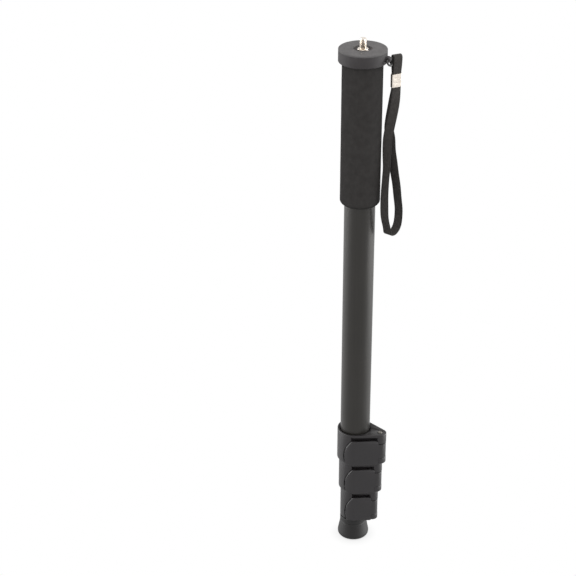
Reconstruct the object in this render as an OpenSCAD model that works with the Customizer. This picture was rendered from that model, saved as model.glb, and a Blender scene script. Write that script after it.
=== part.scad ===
// Four-section camera monopod with flip-lock clamps, a foam grip, a camera screw and a wrist strap.
// It stands folded on its rubber foot. The origin is the centre of the foot's flat sole, +Z runs up
// the column, and the clamp ears and the strap eye point along +X.

/* [Tubes] */
// Outside diameter of the widest tube
main_tube_od = 29; // [26:0.2:30]
// Drop in outside diameter from each tube to the next one inside it
tube_step = 4; // [3.6:0.1:4.6]
// Wall of every tube
tube_wall = 1; // [0.7:0.1:1.2]
// Length of the widest tube
main_tube_len = 400; // [300:5:480]
// Length of the guide bush on the top end of each sliding tube
bush_len = 10; // [6:1:20]
// Thickness of the lip with which a bush caps its tube
bush_lip = 1.2; // [0.8:0.1:2]
// Space between the topmost bush and the head when folded
head_clear = 2.7; // [1:0.1:8]

/* [Grip] */
// Outside diameter of the foam grip
grip_od = 37.4; // [33:0.2:42]
// Length of the foam grip
grip_len = 138; // [80:1:220]
// Radius of the rounded edge at the grip's lower end
grip_edge = 4; // [1:0.5:4]

/* [Head] */
// Diameter of the head disc
head_d = 44.2; // [40:0.2:50]
// Height of the moulded disc without its pad
head_h = 10.8; // [10:0.2:16]
// Radius of the disc's lower edge
head_edge = 1; // [0.4:0.1:2]
// Depth that the main tube goes into the disc
head_seat = 6; // [4:0.5:7]
// Length of the plug below the disc, inside the main tube
plug_len = 4.5; // [3:0.5:10]
// Thickness of the anti-slip pad
pad_t = 1.4; // [1:0.1:3]
// Diameter of the hole in the pad
pad_hole_d = 17; // [12:0.5:24]
// Diameter of the camera screw
stud_d = 6.35; // [5:0.05:9.5]
// Length of the camera screw above the pad
stud_h = 9.6; // [5:0.1:14]
// Diameter of the camera screw's flange
stud_flange_d = 10; // [9.6:0.2:11.8]
// Thickness of the camera screw's flange
stud_flange_t = 1.2; // [0.6:0.1:1.4]
// Width across the flats of the nut under the head
nut_af = 11.1; // [10.4:0.1:13]
// Height of the nut under the head
nut_h = 5.4; // [3:0.1:6]

/* [Strap eye] */
// Distance of the eye's hole from the side of the head disc
eye_reach = 1.8; // [1.8:0.1:4]
// Height of the eye's hole above the underside of the head disc
eye_rise = 4.9; // [3:0.1:7]
// Radius of the rounded end of the eye
eye_r = 2.7; // [2.2:0.1:3.2]
// Thickness of the eye
eye_t = 4; // [2:0.2:5]

/* [Clamps] */
// Height of a clamp
clamp_h = 33; // [31:0.5:44]
// Wall of a clamp outside the tube that it is glued to
clamp_wall = 2.9; // [2.8:0.1:4.5]
// Thickness of the shoulder that a tube stands on, above the shoe's window
shoulder_t = 1; // [0.4:0.1:2]
// Distance from the side of the top clamp to its hinge pin
pin_reach = 8.6; // [8.4:0.1:10]
// Loss of that distance from each clamp to the next
pin_reach_step = 1; // [0:0.1:1]
// Radius of the ears of the top clamp
ear_r = 6.4; // [6:0.1:6.8]
// Loss of ear radius from each clamp to the next
ear_r_step = 0.5; // [0:0.1:0.7]
// Height of the lower ear
ear_low_h = 6; // [5:0.5:8]
// Height of the gap between the ears
ear_gap_h = 16.6; // [16:0.2:18]
// Thickness of the plate that covers the lever's top edge
cover_t = 2.6; // [2:0.1:4]
// Diameter of the hinge pins
pin_d = 3; // [2:0.1:4]
// Diameter of the hinge pins' heads
pin_head_d = 4.4; // [4.2:0.1:6]
// Thickness of the hinge pins' heads
pin_head_t = 0.8; // [0.4:0.1:1.5]
// Width of the countersink round the tube in the top of a clamp
mouth_w = 1; // [0.4:0.1:2]
// Depth of that countersink
mouth_h = 2.2; // [0.5:0.1:3]
// Width of a brake shoe
shoe_w = 9; // [6:0.5:10]
// Height of a brake shoe
shoe_h = 11; // [8:0.2:12]

/* [Levers] */
// Thickness of a lever's paddle
lever_t = 2.6; // [2:0.1:2.8]
// How far a paddle's free end stands out from its clamp
lever_proud = 1.2; // [0.8:0.1:2]
// Angle that a paddle wraps round the column past its straight stretch
lever_wrap = 41; // [20:1:46]
// Radius of a paddle's round free end
lever_end_r = 28; // [26:0.5:32]
// Height of the middle of that round end above the lower end of its clamp
lever_end_z = 8; // [6:0.5:14]
// Radius of the paddle's corner beside the upper ear
lever_corner_r = 4; // [1:0.5:4]
// Radius of the paddle's long outer edges
lever_edge = 1; // [0.4:0.1:1.2]
// How far a lever's knuckle stands out from the ears
knuckle_proud = 0.4; // [0:0.1:0.4]
// How far the cam draws back when its lever opens
cam_lift = 0.7; // [0.4:0.1:1]

/* [Foot] */
// Height of the rubber foot
foot_h = 23; // [20:0.5:40]
// Diameter of the foot where it is widest
foot_d = 31; // [28:0.5:44]
// Radius of the foot's lower edge
foot_edge = 3.5; // [1:0.5:5]
// Height at which the flare runs out into the neck
flare_h = 16; // [10:0.5:18]
// Radius of the groove round the neck
neck_groove_r = 0.7; // [0.2:0.1:0.8]
// Thickness of the rubber under the tube
foot_floor = 6; // [4:0.5:10]
// Length of the plug inside the thinnest tube
foot_plug_len = 18; // [10:1:40]
// Thickness of that plug's flange
foot_plug_lip = 1.5; // [1:0.1:3]

/* [Strap] */
// Diameter of the tether cord
tether_d = 1.8; // [1:0.1:2]
// Width of the webbing
web_w = 8.8; // [6:0.2:9.6]
// Thickness of the webbing
web_t = 1.2; // [0.8:0.1:1.3]
// Height of the crimp
crimp_h = 12.3; // [8:0.1:14]
// Wall of the crimp
crimp_wall = 0.4; // [0.3:0.05:0.8]

/* [Clearances] */
// Radial clearance of a guide bush in the tube round it, and of a tube in the clamp that grips it
slide_clear = 0.2; // [0.1:0.05:0.4]
// Glue line round a seated tube
glue_line = 0.05; // [0.02:0.01:0.1]
// Space between neighbouring clamps when folded
stack_gap = 1.4; // [0.8:0.1:2]
// Space between a paddle's lower edge, which hangs below its clamp, and the piece under it
hang_gap = 0.5; // [0.3:0.1:0.8]
// Space between a lever and its clamp
lever_gap = 0.4; // [0.3:0.05:0.6]
// Space between the paddle's top edge and the plate that covers it
cover_gap = 3.8; // [0.8:0.1:5]
// Space round the outline of a closed paddle in its bed
bed_gap = 0.4; // [0.3:0.1:0.8]
// Radial clearance of a lever on its pin
pin_clear = 0.1; // [0.05:0.05:0.2]
// Space round a brake shoe
shoe_clear = 0.2; // [0.1:0.05:0.3]
// Radial clearance of the tether in its eye
eye_clear = 0.3; // [0.2:0.1:0.6]
// Space between the crimp and the webbing
crimp_clear = 0.2; // [0.15:0.05:0.5]

/* [Hidden] */
$fn = 96;

// Overshoot of a cut past the face that it opens
cut = 1;
// Lap of two stretches of one piece, and the inset that keeps their faces apart there
seam_lap = 0.4;
seam = 0.01;

// Radii of the tubes, counted from 1 at the widest, and of what fits them
function tube_r(i) = (main_tube_od - (i - 1) * tube_step) / 2;
function tube_bore_r(i) = tube_r(i) - tube_wall;
function clamp_r(i) = tube_r(i) + clamp_wall;
function grip_bore_r(i) = tube_r(i + 1) + slide_clear;

// Heights of the clamps, counted from 1 at the top, and of the shoulders that the tubes stand on
function clamp_z(i) = foot_h + stack_gap + (3 - i) * (clamp_h + stack_gap);
function shoulder_z(i) = clamp_z(i) + shoulder_rise;

// Plan of a clamp: where its hinge pin stands and how round its ears and the lever's knuckle are
function pin_x(i) = clamp_r(i) + pin_reach - (i - 1) * pin_reach_step;
function ear_radius(i) = ear_r - (i - 1) * ear_r_step;
function knuckle_r(i) = ear_radius(i) + knuckle_proud;
function paddle_r(i) = clamp_r(i) + lever_proud;
function paddle_turn(i) = asin((paddle_r(i) - knuckle_r(i)) / pin_x(i));
function paddle_run(i) = pin_x(i) * cos(paddle_turn(i));
function ear_keep_r(i) = ear_radius(i) + lever_gap / 2;
function sweep_r(i) = ear_keep_r(i) + lever_gap;
function paddle_end_x(i) = paddle_run(i) - sqrt(pow(sweep_r(i), 2) - pow(knuckle_r(i), 2));

// Heights within a clamp
cover_z = clamp_h - cover_t;
knuckle_z = ear_low_h + lever_gap;
knuckle_h = ear_gap_h - 2 * lever_gap;
lever_low = hang_gap - stack_gap;
lever_high = cover_z - cover_gap;
window_h = shoe_h + 2 * shoe_clear;
window_z = knuckle_z + (knuckle_h - window_h) / 2;
shoulder_rise = window_z + window_h + shoulder_t;
pin_recess = 2;

// The bed's cut starts at this share of its radius: behind the paddle's end, short of the far flank
bed_start = 0.44;

// The cam is a circle set off from the pin: it reaches the shoe when closed and draws back when open.
// The angles say where its centre lies, and which side faces the shoe when the lever is open
cam_angle = 245;
cam_open = 50;
cam_shift = cam_lift / (cos(180 - cam_angle) - cos(cam_open - cam_angle));
function cam_r(i) = knuckle_r(i) - cam_shift * cos(180 - cam_angle);

// Heights of the column
main_tube_top = shoulder_z(1) + main_tube_len;
head_z = main_tube_top - head_seat;
pad_z = head_z + head_h;
head_top = pad_z + pad_t;
plug_z = head_z - plug_len;
tube_2_top = plug_z - head_clear - bush_lip;
inner_tube_len = tube_2_top - shoulder_z(2);
tube_4_z = foot_floor + foot_plug_lip;
function inner_tube_z(i) = i == 4 ? tube_4_z : shoulder_z(i);

// The camera screw's shank ends flush with the plug, just below its nut
nut_inset = 0.4;
nut_z = plug_z + nut_inset;
nut_pocket_clear = 0.6;
nut_circle_r = nut_af / sqrt(3);
stud_end_r = stud_d / 6;

// The foot's neck lies flush with the lowest clamp
neck_r = clamp_r(3);

// Place of the strap's eye, and the turn with which the strap hangs from it
eye_x = head_d / 2 + eye_reach;
eye_z = head_z + eye_rise;
eye_hole_r = tether_d / 2 + eye_clear;
strap_turn = 22;

// Route of the tether from the webbing's fold through the eye and back, from the centre of the eye
tether_route = [
    [4.8, 9.7, -0.4], [2.7, 7.4, -0.4], [1.2, 6, -0.4], [0.3, 4.4, -0.2], [0, 3.2, 0], [0, 0, 0],
    [0, -3, 0], [0.6, -4.4, -1.4], [2, -4.4, -3.4], [3.2, -2, -4.8], [2.6, 1.4, -5], [0.9, 3.8, -4.2],
    [0.4, 5, -3.4], [1.2, 6, -2.8], [2.7, 7.4, -2.5], [4.8, 9.7, -2.4]
];

// Route of the webbing from the crimp over the tether, down round the hand loop and back into the
// crimp, from the centre of the eye: place, and turn of the webbing's width about the column
web_route = [
    [7.7, 7.7, -21, 26], [7.7, 7.7, -16, 26], [7.2, 8.7, -7, 25], [7.1, 9, 0.2, 24],
    [8, 7.1, 1.8, 24], [8.9, 5.2, 0.2, 24], [8.8, 5.3, -7, 25], [8.3, 6.3, -16, 26],
    [8.3, 6.3, -28, 26], [7, 4.5, -45, 6], [3.2, 4, -67, -10], [1.5, 3.5, -79, -20],
    [1.2, 2.5, -93, -34], [1.2, 1, -105, -46], [0.5, -0.5, -117, -48], [0, -1.5, -129, -44],
    [0, -2, -141, -38], [0.6, -2, -153, -38], [3, 0, -165, -38], [4.6, 3.8, -172.6, -38],
    [9.4, 8.6, -173, -38], [13.4, 12.4, -166.5, -38], [14.4, 14, -153, -38], [12.9, 14, -139, -36],
    [11.5, 13.5, -127, -33], [9.5, 12.5, -115, -30], [7.6, 11, -103, -24], [5.6, 10, -91, -18],
    [4.6, 9.2, -79, -12], [3, 8.4, -67, -6], [5.6, 8.2, -45, 10], [7.7, 7.7, -29, 26],
    [7.7, 7.7, -23, 26]
];
crimp_place = [8, 7, -28];
crimp_turn = 26;
web_layer_gap = 0.3;

// Smooth curve through a route: the point at parameter t, with one unit for each stretch
function along(route, t) =
    let (
        last = len(route) - 1,
        k = min(floor(t), last - 1),
        s = t - k,
        a = route[max(k - 1, 0)],
        b = route[k],
        c = route[k + 1],
        d = route[min(k + 2, last)]
    )
    b + s * ((c - a) / 2 + s * (a - 2.5 * b + 2 * c - d / 2 + s * (1.5 * (b - c) + (d - a) / 2)));

// Points of a route, with the given number of steps for each stretch
function smooth(route, steps) =
    [for (j = [0 : steps * (len(route) - 1)]) along(route, j / steps)];

function place(p) = [p.x, p.y, p.z];
function unit(v) = v / norm(v);
function heading(line, j) =
    unit(place(line[min(j + 1, len(line) - 1)]) - place(line[max(j - 1, 0)]));

// Skin over rings of equal count: sides, then the two flat ends
module skin(rings) {
    n = len(rings[0]);
    last = len(rings) - 1;
    points = [for (ring = rings) each ring];
    sides = [
        for (j = [0 : last - 1], k = [0 : n - 1], half = [0, 1])
            let (a = j * n + k, b = j * n + (k + 1) % n)
            half == 0 ? [a, b, b + n] : [a, b + n, a + n]
    ];
    start = [for (k = [1 : n - 2]) [0, k + 1, k]];
    end = [for (k = [1 : n - 2]) [last * n, last * n + k, last * n + k + 1]];
    polyhedron(points = points, faces = [for (f = concat(sides, start, end)) [f[0], f[2], f[1]]]);
}

// Round cord along a route: each ring stands square to the route
module cord(route, d, steps) {
    sides = 8;
    line = smooth(route, steps);
    rings = [
        for (j = [0 : len(line) - 1])
            let (
                t = heading(line, j),
                u = unit(cross(t, abs(t.z) < 0.9 ? [0, 0, 1] : [1, 0, 0])),
                v = cross(t, u)
            )
            [for (k = [0 : sides - 1]) line[j] + d / 2 * (cos(k * 360 / sides) * u + sin(k * 360 / sides) * v)]
    ];
    skin(rings);
}

// Flat webbing along a route whose fourth value turns its width about the column
module webbing(route, w, t, steps) {
    line = smooth(route, steps);
    edge = t / 3;
    section = [
        [w / 2, edge / 2], [w / 2 - edge, t / 2], [-w / 2 + edge, t / 2], [-w / 2, edge / 2],
        [-w / 2, -edge / 2], [-w / 2 + edge, -t / 2], [w / 2 - edge, -t / 2], [w / 2, -edge / 2]
    ];
    rings = [
        for (j = [0 : len(line) - 1])
            let (
                h = heading(line, j),
                flat = [cos(line[j][3]), sin(line[j][3]), 0],
                u = unit(flat - (flat * h) * h),
                v = cross(h, u)
            )
            [for (s = section) place(line[j]) + s.x * u + s.y * v]
    ];
    skin(rings);
}

// Ring with a round bore, standing on the given height
module tube(r, bore_r, z, h) {
    translate([0, 0, z])
        difference() {
            cylinder(r = r, h = h);
            translate([0, 0, -cut]) cylinder(r = bore_r, h = h + 2 * cut);
        }
}

// Drop-shaped prism: a cylinder at the axis and a smaller one at the given reach, with flanks along
// their common tangents
module drop(body_r, tip_r, reach, h) {
    turn = asin((body_r - tip_r) / reach);
    n = [sin(turn), cos(turn)];
    body = (body_r - seam) * n;
    tip = (tip_r - seam) * n;
    cylinder(r = body_r, h = h);
    translate([reach, 0, 0]) cylinder(r = tip_r, h = h);
    linear_extrude(height = h)
        polygon([body, [reach + tip.x, tip.y], [reach + tip.x, -tip.y], [body.x, -body.y]]);
}

// Cross-section of a paddle: radius to the right, height upwards, outer edges rounded
module paddle_section(i, inset) {
    r = paddle_r(i) - inset;
    t = lever_t - 2 * inset;
    low = lever_low + inset;
    high = lever_high - inset;
    translate([r - t, low]) square([t - lever_edge, high - low]);
    translate([r - t, low + lever_edge]) square([t, high - low - 2 * lever_edge]);
    for (z = [low + lever_edge, high - lever_edge])
        translate([r - lever_edge, z]) circle(r = lever_edge);
}

// Paddle as a full band: wrapped round the column at the left, straight up to the pin at the right
module paddle_band(i) {
    rotate([0, 0, -90 - lever_wrap])
        rotate_extrude(angle = lever_wrap)
            paddle_section(i, 0);
    translate([-seam_lap, 0, 0])
        mirror([0, 1, 0])
            rotate([90, 0, 90])
                linear_extrude(height = paddle_run(i) + seam_lap)
                    paddle_section(i, seam);
}

// Outline of a paddle's round free end from the front, run on to the right
module paddle_outline(i, grow, high) {
    left = -paddle_r(i) * sin(lever_wrap) - grow;
    low = lever_low - cut;
    end_r = lever_end_r + grow;
    reach = end_r / 2;
    intersection() {
        translate([left + end_r, lever_end_z]) circle(r = end_r);
        translate([left - cut, low]) square([reach + cut, high - low]);
    }
    translate([left + reach - cut, low]) square([paddle_run(i) + 2 * cut - left - reach, high - low]);
}

// The slot that stays open between a closed paddle and its cover plate, from the paddle's free end
module slot_outline(i) {
    drop_back = lever_end_r - sqrt(pow(lever_end_r, 2) - pow(lever_high - lever_end_z, 2));
    left = drop_back - paddle_r(i) * sin(lever_wrap) - bed_gap;
    translate([left, lever_end_z]) square([paddle_run(i) + cut - left, cover_z - lever_end_z]);
}

// Rounds the paddle's upper corner beside the ear
module corner_cutter(i) {
    right = paddle_end_x(i);
    difference() {
        translate([right - lever_corner_r, lever_high - lever_corner_r])
            square([paddle_run(i) + cut - right + lever_corner_r, lever_corner_r + cut]);
        translate([right - lever_corner_r, lever_high - lever_corner_r + seam_lap / 4])
            circle(r = lever_corner_r);
    }
}

// Puts an outline drawn from the front into place, from the given distance before the axis
module from_front(near, far) {
    translate([0, -near, 0]) rotate([90, 0, 0]) linear_extrude(height = far - near) children();
}

// Moulded clamp body: drop-shaped, with ears for the lever, a bed for its paddle and a shoe window
module clamp_collar(i) {
    color("#464547")
    translate([0, 0, clamp_z(i)])
        difference() {
            drop(clamp_r(i), ear_radius(i), pin_x(i), clamp_h);
            paddle_bed(i);
            translate([pin_x(i), 0, ear_low_h]) cylinder(r = knuckle_r(i) + lever_gap, h = ear_gap_h);
            translate([0, 0, shoulder_rise]) cylinder(r = tube_r(i) + glue_line, h = clamp_h);
            translate([0, 0, clamp_h - mouth_h]) mouth_cutter(i);
            translate([0, 0, -cut]) cylinder(r = grip_bore_r(i), h = clamp_h);
            translate([0, -shoe_w / 2 - shoe_clear, window_z])
                cube([pin_x(i), shoe_w + 2 * shoe_clear, window_h]);
            translate([pin_x(i), 0, -cut]) cylinder(d = pin_d, h = clamp_h + 2 * cut);
            translate([pin_x(i), 0, clamp_h - pin_head_t / 2])
                cylinder(d = pin_head_d + 2 * glue_line, h = pin_head_t);
        }
}

// Cone that opens the top of a clamp round its tube
module mouth_cutter(i) {
    slope = mouth_w / mouth_h;
    cylinder(r1 = tube_r(i), r2 = tube_r(i) + slope * (mouth_h + cut), h = mouth_h + cut);
}

// Room for a closed paddle in front of a clamp, with the ears left standing
module paddle_bed(i) {
    bed_r = paddle_r(i) - lever_t - lever_gap;
    difference() {
        rotate([0, 0, paddle_turn(i)])
            from_front(bed_start * bed_r, 2 * paddle_r(i)) {
                paddle_outline(i, bed_gap, cover_z);
                slot_outline(i);
            }
        translate([0, 0, lever_low - 2 * cut])
            drop(bed_r, knuckle_r(i) - lever_t - lever_gap, pin_x(i), clamp_h + 4 * cut);
        translate([pin_x(i), 0, lever_low - 2 * cut]) cylinder(r = ear_keep_r(i), h = clamp_h + 4 * cut);
    }
}

// Flip lever: thin paddle laid along the clamp's front, and a cam knuckle on the hinge pin
module clamp_lever(i) {
    top = knuckle_z + knuckle_h;
    color("#4b4a4c")
    translate([0, 0, clamp_z(i)])
        difference() {
            union() {
                difference() {
                    rotate([0, 0, paddle_turn(i)])
                        difference() {
                            intersection() {
                                paddle_band(i);
                                from_front(0, 2 * paddle_r(i)) paddle_outline(i, 0, clamp_h);
                            }
                            from_front(0, 2 * paddle_r(i)) corner_cutter(i);
                        }
                    translate([pin_x(i), 0, top]) cylinder(r = sweep_r(i), h = clamp_h - top);
                    translate([pin_x(i), 0, lever_low - cut])
                        cylinder(r = sweep_r(i), h = knuckle_z - lever_low + cut);
                }
                translate([pin_x(i), 0, knuckle_z + seam]) cam_knuckle(i, knuckle_h - 2 * seam);
            }
            translate([pin_x(i), 0, 0]) cylinder(d = pin_d + 2 * pin_clear, h = clamp_h);
        }
}

// Knuckle trimmed by the cam's circle
module cam_knuckle(i, h) {
    intersection() {
        cylinder(r = knuckle_r(i) - seam_lap / 4, h = h);
        translate(cam_shift * [cos(cam_angle), sin(cam_angle), -cut])
            cylinder(r = cam_r(i), h = h + 2 * cut);
    }
}

// Headed hinge pin through both ears
module clamp_pin(i) {
    color("#c9c5bd")
    translate([pin_x(i), 0, clamp_z(i)]) {
        translate([0, 0, pin_recess]) cylinder(d = pin_d, h = clamp_h - pin_recess);
        translate([0, 0, clamp_h - pin_head_t / 2]) cylinder(d = pin_head_d, h = pin_head_t);
    }
}

// Brake shoe: hollow face to the inner tube, flat face to the cam
module clamp_shoe(i) {
    far = pin_x(i) - knuckle_r(i) - shoe_clear;
    color("#2c2b2d")
    translate([0, 0, clamp_z(i) + window_z + shoe_clear])
        difference() {
            translate([0, -shoe_w / 2, 0]) cube([far, shoe_w, shoe_h]);
            translate([0, 0, -cut]) cylinder(r = grip_bore_r(i), h = shoe_h + 2 * cut);
        }
}

module main_tube() {
    color("#3f4042") tube(tube_r(1), tube_bore_r(1), shoulder_z(1), main_tube_len);
}

module inner_tube(i) {
    color("#4a4b4e") tube(tube_r(i), tube_bore_r(i), inner_tube_z(i), inner_tube_len);
}

// Guide bush: a sleeve round the tube's top end under a lip that caps it
module guide_bush(i) {
    top = inner_tube_z(i) + inner_tube_len;
    outer = tube_bore_r(i - 1) - slide_clear;
    color("#1f1f20") {
        difference() {
            translate([0, 0, top - bush_len]) cylinder(r = outer, h = bush_len + bush_lip);
            translate([0, 0, top - bush_len - cut])
                cylinder(r = tube_r(i) + glue_line, h = bush_len + cut);
            translate([0, 0, top - cut]) cylinder(r = tube_bore_r(i), h = bush_lip + 2 * cut);
        }
    }
}

// Foam sleeve with a well rounded lower edge
module foam_grip() {
    r = grip_od / 2;
    bore = tube_r(1) + glue_line;
    color("#2b2a29")
    translate([0, 0, head_z - grip_len])
        difference() {
            rotate_extrude() {
                translate([0, grip_edge]) square([r, grip_len - grip_edge]);
                square([r - grip_edge, grip_len]);
                translate([r - grip_edge, grip_edge]) circle(r = grip_edge);
            }
            translate([0, 0, -cut]) cylinder(r = bore, h = grip_len + 2 * cut);
        }
}

// Moulded head disc with a ring seat and a plug for the main tube, and the eye of the strap
module head_platform() {
    r = head_d / 2;
    color("#525153")
    difference() {
        union() {
            translate([0, 0, head_z])
                rotate_extrude() {
                    translate([0, head_edge]) square([r, head_h - head_edge]);
                    square([r - head_edge, head_h]);
                    translate([r - head_edge, head_edge]) circle(r = head_edge);
                }
            translate([0, 0, plug_z]) cylinder(r = tube_bore_r(1) - glue_line, h = plug_len + cut);
            strap_eye();
        }
        difference() {
            translate([0, 0, head_z - cut]) cylinder(r = tube_r(1) + glue_line, h = head_seat + cut);
            translate([0, 0, head_z - 2 * cut])
                cylinder(r = tube_bore_r(1) - glue_line, h = head_seat + 3 * cut);
        }
        translate([0, 0, plug_z - cut]) cylinder(d = stud_d, h = pad_z - plug_z + 2 * cut);
        translate([0, 0, plug_z - cut])
            cylinder(r = nut_circle_r + nut_pocket_clear, h = nut_z + nut_h - plug_z + cut);
        translate([eye_x, 0, eye_z]) rotate([90, 0, 0])
            cylinder(r = eye_hole_r, h = eye_t + 2 * cut, center = true);
    }
}

// Upright lug on the side of the head disc with a round end
module strap_eye() {
    root = eye_reach + 2 * head_edge;
    translate([eye_x, eye_t / 2, eye_z])
        rotate([90, 0, 0])
            linear_extrude(height = eye_t) {
                circle(r = eye_r);
                translate([-root, -eye_r]) square([root, 2 * eye_r]);
            }
}

// Thin disc with a rounded upper edge and a round hole for the camera screw
module head_pad() {
    r = head_d / 2;
    edge = pad_t / 2;
    color("#5b5a5c")
    translate([0, 0, pad_z])
        difference() {
            rotate_extrude() {
                square([r, pad_t - edge]);
                square([r - edge, pad_t]);
                translate([r - edge, pad_t - edge]) circle(r = edge);
            }
            translate([0, 0, -cut]) cylinder(d = pad_hole_d, h = pad_t + 2 * cut);
        }
}

// Camera screw: a round-ended stud on a flange, with its shank through the head
module camera_screw() {
    r = stud_d / 2;
    h = head_top + stud_h - plug_z;
    color("#cfc9bc") {
        translate([0, 0, pad_z]) cylinder(d = stud_flange_d, h = stud_flange_t);
        translate([0, 0, plug_z])
            rotate_extrude() {
                square([r, h - stud_end_r]);
                square([r - stud_end_r, h]);
                translate([r - stud_end_r, h - stud_end_r]) circle(r = stud_end_r);
            }
    }
}

module screw_nut() {
    color("#b9b4a8")
    translate([0, 0, nut_z])
        difference() {
            cylinder(r = nut_circle_r, h = nut_h, $fn = 6);
            translate([0, 0, -cut]) cylinder(d = stud_d + 2 * glue_line, h = nut_h + 2 * cut);
        }
}

// Plug with a flange that closes the foot end of the thinnest tube
module foot_plug() {
    color("#262627")
    translate([0, 0, foot_floor]) {
        cylinder(r = tube_r(4), h = foot_plug_lip);
        cylinder(r = tube_bore_r(4) - glue_line, h = foot_plug_lip + foot_plug_len);
    }
}

// Rubber foot: a flat sole with a round edge, a flared skirt and a grooved neck
module rubber_foot() {
    r = foot_d / 2;
    color("#3b3a3a")
    difference() {
        rotate_extrude()
            difference() {
                union() {
                    square([r - foot_edge, flare_h]);
                    translate([r - foot_edge, foot_edge]) circle(r = foot_edge);
                    polygon([[0, foot_edge], [r, foot_edge], [neck_r, flare_h], [0, flare_h]]);
                    square([neck_r, foot_h]);
                }
                translate([neck_r, flare_h + 2 * neck_groove_r]) circle(r = neck_groove_r);
            }
        translate([0, 0, foot_floor]) cylinder(r = tube_r(4) + glue_line, h = foot_h);
    }
}

module strap_tether() {
    color("#1c1b1b") translate([eye_x, 0, eye_z]) cord(tether_route, tether_d, 2);
}

module strap_webbing() {
    color("#2f2e2e")
    translate([eye_x, 0, eye_z])
        rotate([0, 0, strap_turn])
            webbing(web_route, web_w, web_t, 2);
}

// Bent metal band round the two layers of the webbing
module strap_crimp() {
    inner = [web_w + 2 * crimp_clear, 2 * web_t + web_layer_gap + 2 * crimp_clear];
    outer = inner + 2 * crimp_wall * [1, 1];
    color("#d6cfc0")
    translate([eye_x, 0, eye_z])
        rotate([0, 0, strap_turn])
            translate(crimp_place)
                rotate([0, 0, crimp_turn])
                    linear_extrude(height = crimp_h)
                        difference() {
                            square(outer, center = true);
                            square(inner, center = true);
                        }
}

main_tube();
foam_grip();
head_platform();
head_pad();
camera_screw();
screw_nut();
clamp_collar(1);  // clamp_1_collar
clamp_collar(2);  // clamp_2_collar
clamp_collar(3);  // clamp_3_collar
clamp_lever(1);  // clamp_1_lever
clamp_lever(2);  // clamp_2_lever
clamp_lever(3);  // clamp_3_lever
clamp_pin(1);  // clamp_1_pin
clamp_pin(2);  // clamp_2_pin
clamp_pin(3);  // clamp_3_pin
clamp_shoe(1);  // clamp_1_shoe
clamp_shoe(2);  // clamp_2_shoe
clamp_shoe(3);  // clamp_3_shoe
inner_tube(2);  // tube_2
inner_tube(3);  // tube_3
inner_tube(4);  // tube_4
guide_bush(2);  // bush_2
guide_bush(3);  // bush_3
guide_bush(4);  // bush_4
foot_plug();
rubber_foot();
strap_tether();
strap_webbing();
strap_crimp();
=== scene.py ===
"""Looks of a folded camera monopod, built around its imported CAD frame."""

import math

import bmesh
import bpy
from mathutils import Matrix, Vector, noise


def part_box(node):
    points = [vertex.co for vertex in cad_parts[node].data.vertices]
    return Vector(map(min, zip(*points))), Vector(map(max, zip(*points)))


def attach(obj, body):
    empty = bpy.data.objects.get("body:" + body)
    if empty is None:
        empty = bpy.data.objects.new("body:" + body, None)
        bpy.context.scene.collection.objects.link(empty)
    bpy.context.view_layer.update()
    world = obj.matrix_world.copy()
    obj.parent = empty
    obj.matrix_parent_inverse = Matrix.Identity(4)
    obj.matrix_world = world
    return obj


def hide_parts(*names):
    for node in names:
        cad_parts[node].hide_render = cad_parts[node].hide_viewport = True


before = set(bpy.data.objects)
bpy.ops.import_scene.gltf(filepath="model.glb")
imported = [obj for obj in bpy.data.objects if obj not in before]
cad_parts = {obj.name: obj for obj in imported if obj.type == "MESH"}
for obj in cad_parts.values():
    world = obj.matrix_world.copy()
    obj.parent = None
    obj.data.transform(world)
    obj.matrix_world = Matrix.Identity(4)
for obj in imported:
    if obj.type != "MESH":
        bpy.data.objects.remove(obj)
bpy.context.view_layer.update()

bl_info = {
    "name": "Camera monopod",
    "version": (1, 0, 0),
    "blender": (4, 5, 0),
    "location": "View3D > Sidebar > Monopod",
    "description": "Dresses a folded camera monopod: tubes, foam grip, clamps, camera screw, foot and wrist strap",
    "category": "Object",
}

MM = 0.001
CLAMP_BODIES = {1: "upper", 2: "section_2", 3: "section_3"}

# Place of the strap's eye and the turn with which the strap hangs from it
EYE = Vector((23.9, 0, 513.1))
STRAP_TURN = math.radians(22)

# Route of the tether from the webbing's fold through the eye and back, in mm from the eye
TETHER_ROUTE = (
    (4.8, 9.7, -0.4), (2.7, 7.4, -0.4), (1.2, 6, -0.4), (0.3, 4.4, -0.2), (0, 3.2, 0), (0, 0, 0),
    (0, -3, 0), (0.6, -4.4, -1.4), (2, -4.4, -3.4), (3.2, -2, -4.8), (2.6, 1.4, -5), (0.9, 3.8, -4.2),
    (0.4, 5, -3.4), (1.2, 6, -2.8), (2.7, 7.4, -2.5), (4.8, 9.7, -2.4),
)

# Route of the webbing in mm from the eye, with the turn of its width in degrees
WEB_ROUTE = (
    (7.7, 7.7, -21, 26), (7.7, 7.7, -16, 26), (7.2, 8.7, -7, 25), (7.1, 9, 0.2, 24),
    (8, 7.1, 1.8, 24), (8.9, 5.2, 0.2, 24), (8.8, 5.3, -7, 25), (8.3, 6.3, -16, 26),
    (8.3, 6.3, -28, 26), (7, 4.5, -45, 6), (3.2, 4, -67, -10), (1.5, 3.5, -79, -20),
    (1.2, 2.5, -93, -34), (1.2, 1, -105, -46), (0.5, -0.5, -117, -48), (0, -1.5, -129, -44),
    (0, -2, -141, -38), (0.6, -2, -153, -38), (3, 0, -165, -38), (4.6, 3.8, -172.6, -38),
    (9.4, 8.6, -173, -38), (13.4, 12.4, -166.5, -38), (14.4, 14, -153, -38), (12.9, 14, -139, -36),
    (11.5, 13.5, -127, -33), (9.5, 12.5, -115, -30), (7.6, 11, -103, -24), (5.6, 10, -91, -18),
    (4.6, 9.2, -79, -12), (3, 8.4, -67, -6), (5.6, 8.2, -45, 10), (7.7, 7.7, -29, 26),
    (7.7, 7.7, -23, 26),
)
WEB_WIDTH = 8.8
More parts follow.
